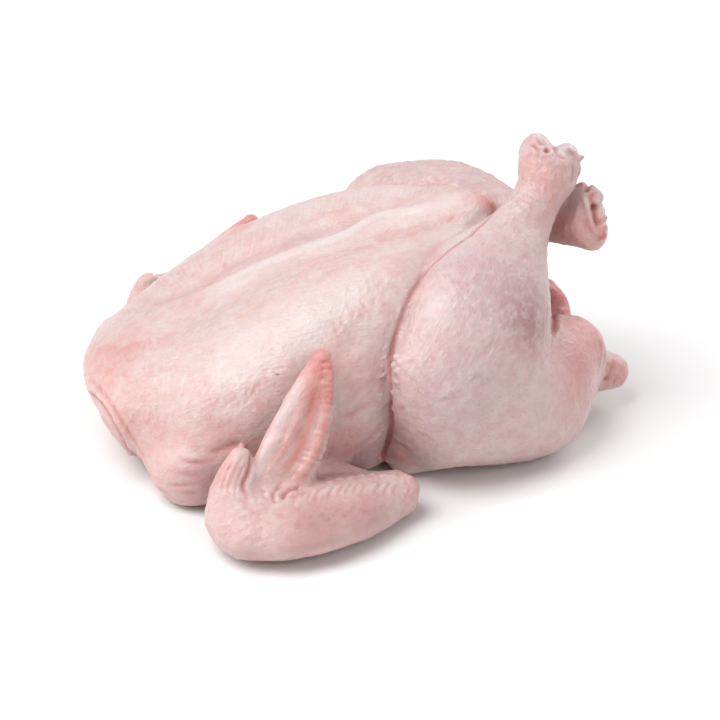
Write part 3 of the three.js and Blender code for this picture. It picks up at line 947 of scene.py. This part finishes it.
def sculpt_hand(skin):
    # The bone's two edges, the valley of thin skin between the bone and the web, and cream along the bone as
    # painted highlight.
    back_edge = [(312, 372), (309, 386), (304, 404), (298, 422), (290, 440), (283, 458)]
    thin_skin = [(318, 384), (313, 398), (309, 412), (302, 430)]
    bone = [(248, 489), (258, 468), (272, 445), (284, 418), (295, 395), (308, 368)]
    bone_root = [(246, 489), (258, 468), (270, 444), (285, 420)]
    skin.ridge(back_edge, width=3.6, height=0.5, ends=(0.15, 0.2), twin="hand", blush=0.15)
    skin.ridge(thin_skin, width=1.8, height=-0.15, twin="hand", raw=0.35)
    skin.ridge(bone, width=3.6, height=0.3, ends=(0.1, 0.4), twin="hand", cream=1.0, lilac=0.25)
    skin.ridge(bone_root, width=3.6, height=0.3, ends=(0.1, 0.4), twin="hand", cream=0.7)
    # The soft rim of the web, with its row of quill pits, and cream along its outer lip as painted light.
    inside = [(321, 360), (318, 380), (315, 400), (312, 416), (306, 434), (298, 452), (286, 468), (276, 480)]
    outside = [(332, 356), (335, 380), (336, 404), (334, 420), (330, 444), (323, 462), (313, 480), (301, 489)]
    middle = [(a[0] * 0.42 + b[0] * 0.58, a[1] * 0.42 + b[1] * 0.58) for a, b in zip(inside, outside)]
    lip = [(x - 5, y) for x, y in outside]
    pale_lip = [(x - 2, y) for x, y in outside[1:]]
    tip_inside = [(320, 362), (317, 384), (314, 404)]
    tip_outside = [(331, 358), (335, 380), (336, 406)]
    skin.ridge(middle, width=3.2, height=0.9, ends=(0.1, 0.1), twin="hand", blush=0.6)
    skin.ridge(inside, width=2.9, height=0.3, ends=(0.1, 0.25), twin="hand", raw=0.4, blush=0.5)
    skin.ridge(lip, width=2.8, height=0.6, ends=(0.1, 0.15), twin="hand")
    skin.ridge(pale_lip, width=2.2, height=0.2, ends=(0.1, 0.15), twin="hand", cream=0.7)
    skin.comb(inside[:-1], outside[:-1], count=17, width=1.3, height=0.75, seed=61, stray=0.5,
              ends=(0.4, 0.02), twin="hand", cream=0.15)
    skin.comb(tip_inside, tip_outside, count=9, width=0.9, height=0.7, seed=612, stray=0.6, cut=True,
              ends=(0.3, 0.02), twin="hand", raw=0.3)
    skin.comb(inside[:-1], outside[:-1], count=17, width=0.8, height=0.4, seed=611, stray=0.5, cut=True,
              ends=(0.3, 0.02), twin="hand", raw=0.25)
    # Fine streaks across the bone, and short ones over the whole hand.
    bone_back = [(308, 376), (309, 404), (300, 430), (284, 458)]
    bone_front = [(296, 404), (288, 436), (272, 466), (258, 488)]
    whole_hand = [(300, 380), (322, 380), (300, 470), (262, 480)]
    skin.comb(bone_back, bone_front, count=16, width=0.7, height=0.22, seed=62, bow=2, twin="hand",
              blush=0.15)
    skin.dashes(whole_hand, turn=48, length=13, count=50, width=0.7, height=0.18, seed=63, twin="hand",
                cream=0.2)
    # Swellings along the bone, pale with painted highlight, and the red skin beside it, darkened with painted
    # shade.
    swellings = [(270, 444), (263, 458), (257, 472), (251, 484)]
    red_skin = [(317, 376), (311, 396), (305, 412), (298, 430), (290, 448)]
    for swelling in swellings:
        skin.spot(swelling, 4.5, 0.35, twin="hand", cream=0.8)
    skin.ridge(red_skin, width=3.6, height=0, twin="hand", raw=0.15, deep=0.3)
    # The folds and beads at the root of the hand, with painted shade in the folds.
    root = (290, 489)
    back_fold = [(300, 488), (292, 491), (285, 494), (282, 501)]
    middle_fold = [(284, 486), (277, 489), (273, 496), (276, 505)]
    front_fold = [(262, 487), (264, 494), (268, 500)]
    beads = [(278, 499), (287, 484), (279, 506), (288, 502), (294, 495), (267, 494), (258, 508), (246, 512),
             (239, 506), (262, 500), (252, 500)]
    skin.spot(root, 4.5, 1.2, twin="hand")
    skin.crease(back_fold, width=1.1, depth=1.1, ends=(0.05, 0.2), roll=0.5, twin="hand", deep=0.4)
    skin.crease(middle_fold, width=0.9, depth=0.8, ends=(0.2, 0.2), roll=0.4, twin="hand", deep=0.25)
    skin.crease(front_fold, width=0.9, depth=0.5, ends=(0.2, 0.2), roll=0.4, twin="hand", deep=0.1)
    for bead in beads:
        skin.spot(bead, 2.6, 0.6, twin="hand", cream=0.4)


def sculpt_thumb(skin):
    # Fine folds from the thumb's root to its tip, the cut between it and the hand with a little painted shade
    # in it, and its claw.
    root = [(216, 492), (222, 498), (230, 502), (240, 502)]
    tip = [(238, 450), (243, 450), (248, 454), (250, 460)]
    beside_hand = [(251, 452), (250, 464), (247, 476), (243, 485), (247, 497), (252, 508)]
    claw = (242, 447)
    skin.comb(root, tip, count=9, width=0.8, height=0.35, seed=71, bow=-3, stray=0.9, ends=(0.15, 0.1),
              twin="thumb", cream=0.35)
    skin.crease(beside_hand, width=1.0, depth=0.8, ends=(0.1, 0.4), roll=0.3, twin="thumb", raw=0.5,
                deep=0.15)
    skin.spot(claw, 1.7, 2.6, raw=0.6)


def sculpt_forearm(skin):
    # A row of quill bumps along the top, each with a pale patch of painted light under it.
    quills = [(330, 482), (340, 479), (351, 478), (362, 476), (373, 475), (384, 475), (394, 476), (404, 477)]
    patch_below = 4
    for x, y in quills:
        skin.spot((x, y), 2.4, 0.6, twin="forearm", blush=0.15)
        skin.spot((x, y + patch_below), 6, 0, twin="forearm", cream=0.45)
    # The shallow hollow along the side, darkened with painted shade, and the leaning ridges above and below
    # it, the upper ones cream with painted highlight.
    hollow = [(285, 532), (330, 523), (370, 514), (405, 505)]
    top = [(300, 494), (325, 486), (358, 481), (400, 481)]
    top_foot = [(292, 514), (316, 503), (348, 498), (390, 497)]
    side = [(290, 514), (316, 504), (352, 500), (398, 498)]
    side_foot = [(280, 534), (306, 524), (340, 519), (386, 514)]
    skin.ridge(hollow, width=7, height=-0.2, ends=(0.2, 0.2), twin="forearm", dark=0.1)
    skin.comb(top, top_foot, count=13, width=1.7, height=0.75, seed=81, bow=1, stray=0.7, twin="forearm",
              cream=0.9)
    skin.comb(side, side_foot, count=13, width=1.5, height=0.3, seed=82, bow=1, stray=1.3, twin="forearm",
              blush=0.15)
    # Wrinkles over the whole forearm, at the wrist and at the elbow, and a few red pits.
    whole = [(240, 518), (400, 505), (370, 535), (250, 552)]
    wrist = [(212, 500), (262, 512), (262, 545), (222, 545)]
    elbow = [(400, 478), (420, 480), (420, 515), (398, 520)]
    red_pits = [(280, 516), (298, 526), (312, 525), (328, 520), (345, 515), (290, 540), (366, 512)]
    elbow_knob = (414, 484)
    skin.dashes(whole, turn=55, length=10, count=60, width=1.5, height=0.12, seed=83, twin="forearm",
                blush=0.1)
    skin.dashes(wrist, turn=25, length=11, count=26, width=1.2, height=0.35, seed=84, twin="forearm",
                cream=0.3)
    skin.dashes(elbow, turn=80, length=10, count=14, width=1.0, height=0.5, seed=85, twin="forearm",
                raw=0.2)
    for pit in red_pits:
        skin.spot(pit, 2.4, -0.15, twin="forearm", raw=0.3)
    skin.spot(elbow_knob, 8, 1.5)


def sculpt_near_hock(skin):
    # The cut joint: a hole between two lobes, the right one a bare knob of gristle, with painted shade in the
    # socket and the hole.
    socket, hole, left_lip, right_lip = (541, 143), (547, 151), (543, 148), (552, 148)
    socket_rim = [(531, 137), (538, 135), (545, 143), (549, 147)]
    socket_cut = [(531, 142), (537, 148), (543, 150)]
    hole_rim = [(543, 154), (548, 155), (553, 152)]
    skin.spot(socket, 3.4, -0.8, lilac=0.9, deep=0.3)
    skin.ridge(socket_rim, width=1.6, height=0.8, cream=0.5)
    skin.crease(socket_cut, width=0.9, depth=1.0, raw=0.9)
    skin.spot(hole, 1.6, -1.1, deep=-0.6, raw=1.4, dark=0.25)
    skin.ridge(hole_rim, width=1.0, height=0.6, cream=0.4)
    skin.spot(left_lip, 1.7, 1.2, cream=1.0)
    skin.spot(right_lip, 1.9, 1.1, raw=0.4)
    # The knob of gristle with its dark spot, the cuts and lips round it, and the torn spike beside it, with
    # painted shade in its fold.
    tendon = [(548, 165), (550, 176), (547, 184)]
    knob, knob_spot, spike = (564, 149), (571, 153), (579, 158)
    knob_cut = [(554, 144), (555, 151), (560, 157), (567, 160)]
    below_knob = [(555, 160), (563, 165), (574, 163)]
    below_spike = [(578, 161), (579, 170), (576, 180)]
    spike_fold = [(571, 162), (573, 172), (570, 184)]
    skin.ridge(tendon, width=3.4, height=0.5, cream=0.7)
    skin.spot(knob, 5.6, 0.6, cream=0.9, lilac=0.6)
    skin.crease(knob_cut, width=0.9, depth=0.8, ends=(0.2, 0.3), raw=0.4)
    skin.spot(knob_spot, 3.8, -0.2, dark=1.0, blush=0.3, lilac=0.3, cream=-0.5)
    skin.ridge(below_knob, width=3.2, height=0.8, cream=0.2, blush=0.2)
    skin.spot(spike, 1.9, 2.4, raw=0.8)
    skin.ridge(below_spike, width=1.7, height=1.0, cream=0.3)
    skin.crease(spike_fold, width=1.0, depth=0.8, deep=0.3)
    # Rings and streaks on the shank below the joint.
    upper_ring = [(500, 210), (512, 201), (525, 190)]
    lower_ring = [(500, 217), (508, 217), (516, 216)]
    shank_front = [(525, 150), (545, 160), (548, 195), (522, 190)]
    shank_back = [(556, 168), (574, 176), (562, 208), (546, 200)]
    skin.ridge(upper_ring, width=1.0, height=0.5, cream=0.6)
    skin.ridge(lower_ring, width=0.9, height=0.4, cream=0.5)
    skin.dashes(shank_front, turn=100, length=12, count=16, width=1.1, height=0.3, seed=91, blush=0.15)
    skin.dashes(shank_back, turn=70, length=12, count=14, width=1.1, height=0.35, seed=92, blush=0.15)


def sculpt_far_hock(skin):
    # The cut end: a pale rolled edge about a hollow of red flesh darkened with painted shade, with a lump of
    # bone and torn red flesh.
    pale_side, hollow = (568, 211), (595, 208)
    rolled_edge = [(581, 192), (586, 202), (588, 214), (592, 226), (599, 237)]
    inside_edge = [(589, 195), (594, 206), (595, 217), (598, 229)]
    bone = [(590, 187), (598, 194), (603, 204), (605, 212)]
    torn_flesh = [
        ((582, 185), 3.2, 1.6, 1.0), ((592, 196), 2.6, -0.8, 0.8), ((587, 190), 1.9, -0.9, 1.0),
        ((604, 218), 2.6, 1.5, 0.8), ((604, 227), 2.6, 1.2, 0.6), ((603, 236), 3.0, 1.3, 0.9),
        ((599, 222), 2.2, -0.8, 0.9),
    ]
    shank = [(556, 205), (580, 200), (590, 240), (562, 245)]
    skin.spot(pale_side, 11, 0.3, cream=0.7, lilac=0.4)
    skin.ridge(rolled_edge, width=1.9, height=1.4, cream=0.8)
    skin.crease(inside_edge, width=1.1, depth=1.4, raw=0.6, deep=0.4)
    skin.spot(hollow, 2.6, -2.6, deep=0.4, raw=1.4, dark=0.2)
    skin.ridge(bone, width=2.7, height=1.9, ends=(0.2, 0.2), lilac=0.7, cream=0.3)
    for place, radius, height, red in torn_flesh:
        skin.spot(place, radius, height, raw=red)
    skin.dashes(shank, turn=75, length=14, count=12, width=1.1, height=0.3, seed=93)


def tint_skin(skin):
    """Lays the broad tints: rosy and raw places, painted shade, a lilac cast, creamy bare patches, and cream
    bands and patches that are painted highlight.
    """
    for x, y, radius, share in ROSY_PATCHES.values():
        skin.spot((x, y), radius, blush=share)
    for x, y, radius, share in RAW_PATCHES.values():
        skin.spot((x, y), radius, raw=share)
    for x, y, radius, share in SHADY_PATCHES.values():
        skin.spot((x, y), radius, deep=share, dark=share)
    for x, y, radius, share in LILAC_PATCHES.values():
        skin.spot((x, y), radius, lilac=share)
    # Cream bands of painted highlight along the keel's ridge, the far lobe's top and the drumstick's upper
    # edge, where light falls on the tops.
    keel = [(190, 300), (230, 284), (289, 256), (336, 240), (376, 220), (414, 212), (450, 203), (478, 196)]
    far_lobe = [(215, 250), (262, 222), (322, 200), (380, 190), (440, 190)]
    drumstick_edge = [(440, 250), (465, 222), (500, 200)]
    skin.ridge(keel, width=12, height=0, ends=(0.2, 0.1), cream=0.5)
    skin.ridge(far_lobe, width=12, height=0, ends=(0.3, 0.2), cream=0.5)
    skin.ridge(drumstick_edge, width=10, height=0, cream=0.5)
    for x, y, radius, share in CREAMY_PATCHES.values():
        skin.spot((x, y), radius, cream=share)


def line_cavity(skin):
    """Makes the wall of the body's hollow bare wet red flesh, lumpier than the skin and darkened further with
    painted shade inside the hollow. Gives how far each corner belongs to the wall, from 0 to 1."""
    (starts, stops), (inside, mouth) = CAVITY_REACH, CAVITY_MOUTH
    gap = off_line(skin.at, *CAVITY)
    off = np.linalg.norm(gap, axis=1)
    inwards = rise(-np.sum(gap * skin.out, axis=1) / off, 0.0, 0.6)
    close = 1 - rise(off, starts * MM, stops * MM)
    wall = inwards * close * (1 - 0.7 * rise(skin.at[:, 0], inside * MM, mouth * MM))
    lumps = cloudy(skin.at, 7 * MM, 8) + 0.5 * cloudy(skin.at, 3 * MM, 9)
    skin.lift += 0.7 * MM * wall * lumps
    skin.tint["raw"] += wall * (0.45 + 0.2 * lumps)
    skin.tint["deep"] += wall * (0.3 - 0.2 * lumps)
    skin.tint["cream"] *= 1 - wall
    return wall


def raise_goose_bumps(skin, bare, wall):
    """Scatters bumps that lean along the flow of the skin, fewer and lower where the cream tint is strong: on
    bare pale skin and under painted highlights. Gives each corner's place about its nearest pore, with a
    random number of the pore's own, and how far off that pore is."""
    part = skin.part
    height = 0.08 * part["torso"] + 0.16 * part["legs"] + 0.16 * part["wings"] + 0.08 * part["shanks"] + 0.12
    height = (1 - wall) * (height - 0.22 * part["hands"]) * (1 - 0.8 * bare)
    chance = np.random.default_rng(GOOSE_SEED)
    order = chance.permutation(len(skin.at))
    wanted = chance.random(len(skin.at)) < np.clip(1 - bare, 0.03, 1)
    across = np.cross(skin.out, skin.flow)
    cells = np.floor(skin.at / (GOOSE_GAP * MM)).astype(int)
    steps = [(a, b, c) for a in (-1, 0, 1) for b in (-1, 0, 1) for c in (-1, 0, 1)]
    taken = {}
    pore = np.zeros((len(skin.at), 3))
    off = np.full(len(skin.at), PORE_FAR)
    for i in order[wanted[order]][:GOOSE_TRIES]:
        x, y, z = cells[i]
        if (x, y, z) in taken:
            continue
        rivals = [taken[x + a, y + b, z + c] for a, b, c in steps if (x + a, y + b, z + c) in taken]
        if any(np.linalg.norm(skin.at[rival] - skin.at[i]) < GOOSE_GAP * MM for rival in rivals):
            continue
        taken[x, y, z] = i
        which = skin.around(skin.at[i] - GOOSE_REACH * MM, skin.at[i] + GOOSE_REACH * MM)
        gap = skin.at[which] - skin.at[i]
        u = gap @ skin.flow[i] / MM
        v = gap @ across[i] / MM
        distance = np.hypot(u, v)
        facing = skin.out[which] @ skin.out[i] > 0.3
        tall = height[i] * chance.uniform(0.6, 1.3)
        oval = np.hypot((u + GOOSE_LEAN) / GOOSE_LONG, v / GOOSE_WIDE)
        skin.lift[which] += facing * tall * MM * swell(oval)
        closer = facing & (distance < off[which])
        off[which[closer]] = distance[closer]
        pore[which[closer]] = np.stack([u, v, np.full(len(u), chance.random())], 1)[closer]
    return pore, off


def tint_by_relief(skin):
    """Waves the skin a little, darkens and reddens its hollows with painted shade, pales its ridges with
    painted highlight, makes it rosier low down, and makes every tint patchy.
    """
    part = skin.part
    wide_wave, short_wave = cloudy(skin.at, 9 * MM, 1), cloudy(skin.at, 3.6 * MM, 2)
    skin.lift += 0.35 * MM * wide_wave + 0.14 * MM * short_wave
    hollow = skin.hollows()
    skin.tint["deep"] += np.clip(hollow * 1.1, 0, 1)
    skin.tint["cream"] += np.clip(-hollow * 0.8, 0, 0.5)
    low = 1 - rise(skin.at[:, 2], 8 * MM, 60 * MM)
    patchy = cloudy(skin.at, 14 * MM, 3) + 0.5 * cloudy(skin.at, 5 * MM, 6)
    for name in TINTS:
        skin.tint[name] *= 1 + 0.35 * patchy
    skin.tint["blush"] += (0.06 + 0.12 * patchy + 0.05 * part["legs"] + 0.19 * part["wings"]
                           + 0.2 * low * part["torso"] + 0.1 * low)
    skin.tint["raw"] += 0.1 * np.clip(hollow * 1.5, 0, 1)
    skin.tint["lilac"] += 0.12 * part["legs"] + 0.1 * cloudy(skin.at, 18 * MM, 4)


def grain_of(skin):
    """Coordinates along each bone and across it, in millimetres, for the skin's fine streaks. Each bone's are
    moved on a little, so that no two bones have the same streaks."""
    apart = 50
    grain = np.zeros((len(skin.at), 3))
    for index, (start, end, _) in enumerate(BONES.values()):
        mine = skin.region == index
        start, end = np.array(start) * MM, np.array(end) * MM
        along = unit(end - start)
        side = unit(np.cross(along, [0.2, 0.9, 0.4]))
        gap = skin.at[mine] - start
        across = gap @ np.cross(along, side)
        grain[mine] = np.stack([gap @ along, gap @ side, across], 1) / MM + apart * index
    return grain


def store(mesh, name, values):
    """Keeps the values on the mesh's corners, where the material reads them by name."""
    kind, field = ("FLOAT_VECTOR", "vector") if values.ndim == 2 else ("FLOAT", "value")
    attribute = mesh.attributes.new(name, kind, "POINT")
    attribute.data.foreach_set(field, values.astype(np.float32).ravel())


def shape_skin(piece):
    """Lifts and tints the fine mesh, keeps what the material reads, and thins it to its triangles."""
    skin = Skin(piece)
    for shape in (sculpt_breast, sculpt_flank, sculpt_leg, sculpt_rump, sculpt_neck, sculpt_hand,
                  sculpt_thumb, sculpt_forearm, sculpt_near_hock, sculpt_far_hock, tint_skin):
        shape(skin)
    legs, wings, hands = skin.part["legs"], skin.part["wings"], skin.part["hands"]
    # bare is the cream tint's share, so it holds painted highlights as well as bare pale skin.
    bare = np.clip(skin.tint["cream"] * 1.6, 0, 1)
    wall = line_cavity(skin)
    pore, off = raise_goose_bumps(skin, bare, wall)
    tint_by_relief(skin)
    # Nothing moves on the floor, and nothing goes through it.
    held = rise(skin.at[:, 2], 0.2 * MM, 3 * MM)
    shaped = skin.at + skin.out * (skin.lift * held)[:, None]
    shaped[:, 2] = np.maximum(shaped[:, 2], 0)
    mesh = piece.data
    mesh.vertices.foreach_set("co", shaped.astype(np.float32).ravel())
    for name, values in skin.tint.items():
        store(mesh, name, np.clip(values, 0, 1))
    store(mesh, "pore", pore)
    store(mesh, "pore_off", off)
    dotted = (0.03 + 0.35 * legs + 0.1 * wings) * (1 - bare) * rise(cloudy(skin.at, 22 * MM, 5), -0.5, 0.6)
    store(mesh, "dots", dotted)
    store(mesh, "bumps", (0.15 + 0.85 * legs + 0.45 * wings - 0.4 * hands) * (1 - 0.7 * bare))
    store(mesh, "grain", grain_of(skin))
    store(mesh, "calm", 1 - skin.borders())
    mesh.update()
    triangles = sum(len(polygon.vertices) - 2 for polygon in mesh.polygons)
    finished(piece, ("DECIMATE", {"ratio": MOST_TRIANGLES / triangles, "use_collapse_triangulate": True}))


class Nodes:
    """Shorthand for building a material's nodes."""

    def __init__(self, material):
        material.use_nodes = True
        self.tree = material.node_tree
        self.shader = self.tree.nodes["Principled BSDF"]

    def put(self, socket, value):
        if isinstance(value, bpy.types.NodeSocket):
            self.tree.links.new(value, socket)
        else:
            socket.default_value = value

    def node(self, kind, settings=(), **inputs):
        made = self.tree.nodes.new(kind)
        for name, value in dict(settings).items():
            setattr(made, name, value)
        for name, value in inputs.items():
            self.put(made.inputs[name.replace("_", " ")], value)
        return made

    def attribute(self, name, output="Fac"):
        return self.node("ShaderNodeAttribute", {"attribute_name": name}).outputs[output]

    def math(self, operation, *values):
        made = self.node("ShaderNodeMath", {"operation": operation})
        for socket, value in zip(made.inputs, values):
            self.put(socket, value)
        return made.outputs[0]

    def times(self, a, b):
        return self.math("MULTIPLY", a, b)

    def ramp(self, value, low, high, to_low=0.0, to_high=1.0):
        made = self.node("ShaderNodeMapRange", {"interpolation_type": "SMOOTHSTEP"}, Value=value)
        for name, number in (("From Min", low), ("From Max", high), ("To Min", to_low), ("To Max", to_high)):
            made.inputs[name].default_value = number
        return made.outputs[0]

    def mix(self, share, below, above):
        """The upper colour laid over the lower one by the share."""
        made = self.node("ShaderNodeMix", {"data_type": "RGBA", "clamp_factor": True})
        factor, lower, upper = made.inputs[0], made.inputs[6], made.inputs[7]
        self.put(factor, share)
        self.put(lower, below)
        self.put(upper, above)
        return made.outputs[2]

    def noise(self, vector, scale, detail, roughness):
        made = self.node("ShaderNodeTexNoise", Vector=vector, Scale=scale, Detail=detail, Roughness=roughness)
        return made.outputs[0]

    def stretched(self, vector, scales):
        made = self.node("ShaderNodeVectorMath", {"operation": "MULTIPLY"})
        self.put(made.inputs[0], vector)
        made.inputs[1].default_value = scales
        return made.outputs[0]

    def length(self, vector):
        made = self.node("ShaderNodeVectorMath", {"operation": "LENGTH"})
        self.put(made.inputs[0], vector)
        return made.outputs["Value"]


def skin_material():
    material = bpy.data.materials.new("raw_skin")
    n = Nodes(material)
    place = n.node("ShaderNodeTexCoord").outputs["Object"]
    mottle = n.noise(place, MOTTLE_SCALE, 3.0, 0.6)
    fine = n.noise(place, FINE_SCALE, 3.0, 0.65)
    bumps = n.attribute("bumps")

    # The skin's own two colours in soft patches, and paler streaks along the bones, calm where bones meet.
    colour = n.mix(n.ramp(mottle, 0.35, 0.7), COLOURS["pale"], COLOURS["pink"])
    streaks = n.noise(n.stretched(n.attribute("grain", "Vector"), STREAK_STRETCH), 1.0, 3.0, 0.6)
    streaks = n.math("MULTIPLY_ADD", n.math("SUBTRACT", streaks, 0.5), n.attribute("calm"), 0.5)
    colour = n.mix(n.ramp(streaks, 0.5, 0.75, 0.0, 0.35), colour, COLOURS["streak"])

    # The tints, each with the most of it that shows.
    strengths = {
        "cream": 0.85,
        "lilac": 0.7,
        "blush": n.ramp(mottle, 0.2, 0.8, 0.7, 1.1),
        "raw": 0.9,
        "deep": 0.75,
        "dark": 0.8,
    }
    for tint in TINTS:
        colour = n.mix(n.times(n.attribute(tint), strengths[tint]), colour, COLOURS[tint])

    # The smallest goose-bumps: a light middle and a darker ring, in cells of about two millimetres.
    cells = n.node("ShaderNodeTexVoronoi", Vector=place, Scale=BUMP_SCALE, Randomness=0.85)
    rings = n.times(n.ramp(cells.outputs["Distance"], 0.1, 0.65), bumps)
    colour = n.mix(n.times(rings, n.ramp(mottle, 0.35, 0.65, 0.08, 0.42)), colour, COLOURS["bump_ring"])

    # Pale blotches, stronger on the dark meat.
    blotches = n.times(n.ramp(n.noise(place, BLOTCH_SCALE, 2.0, 0.5), 0.42, 0.66), bumps)
    blotches = n.times(blotches, n.ramp(n.attribute("lilac"), 0.1, 0.7, 0.05, 0.4))
    colour = n.mix(blotches, colour, COLOURS["blotch"])

    # Pores: an oval dot, orange-brown where the follicle shows through the skin.
    oval = n.length(n.stretched(n.attribute("pore", "Vector"), PORE_STRETCH))
    dot = n.times(n.ramp(oval, 0.8, 0.2), n.ramp(n.attribute("pore_off"), 1.5, 1.2))
    colour = n.mix(n.times(dot, n.attribute("dots")), colour, COLOURS["pore"])
    n.put(n.shader.inputs["Base Color"], colour)

    # Wet, uneven gloss over thin flesh that light sinks into.
    n.put(n.shader.inputs["Roughness"], n.ramp(fine, 0.3, 0.7, 0.26, 0.42))
    n.shader.inputs["Specular IOR Level"].default_value = SPECULAR
    n.shader.inputs["Subsurface Weight"].default_value = SCATTER_WEIGHT
    n.shader.inputs["Subsurface Radius"].default_value = SCATTER_COLOURS
    n.shader.inputs["Subsurface Scale"].default_value = SCATTER_DEPTH

    # The finest relief: pebbles, grain and streaks, with the goose-bumps' rings and the pores let in.
    height = n.math("MULTIPLY_ADD", n.noise(place, PEBBLE_SCALE, 2.0, 0.5), 0.8, n.times(fine, 0.35))
    height = n.math("MULTIPLY_ADD", streaks, 0.6, height)
    height = n.math("MULTIPLY_ADD", rings, -0.16, height)
    height = n.math("MULTIPLY_ADD", dot, -0.15, height)
    relief = n.node("ShaderNodeBump", Height=height, Distance=0.6 * MM, Strength=0.8)
    n.put(n.shader.inputs["Normal"], relief.outputs[0])
    return material


add_camera()
add_floor()
add_world()
for lamp in LAMPS:
    add_lamp(*lamp)
bpy.context.scene.view_settings.view_transform = "Standard"

chicken = fine_skin(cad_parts["chicken"])
shape_skin(chicken)
chicken.data.materials.clear()
chicken.data.materials.append(skin_material())
chicken.data.polygons.foreach_set("use_smooth", np.ones(len(chicken.data.polygons), bool))
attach(chicken, "root")
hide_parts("chicken")
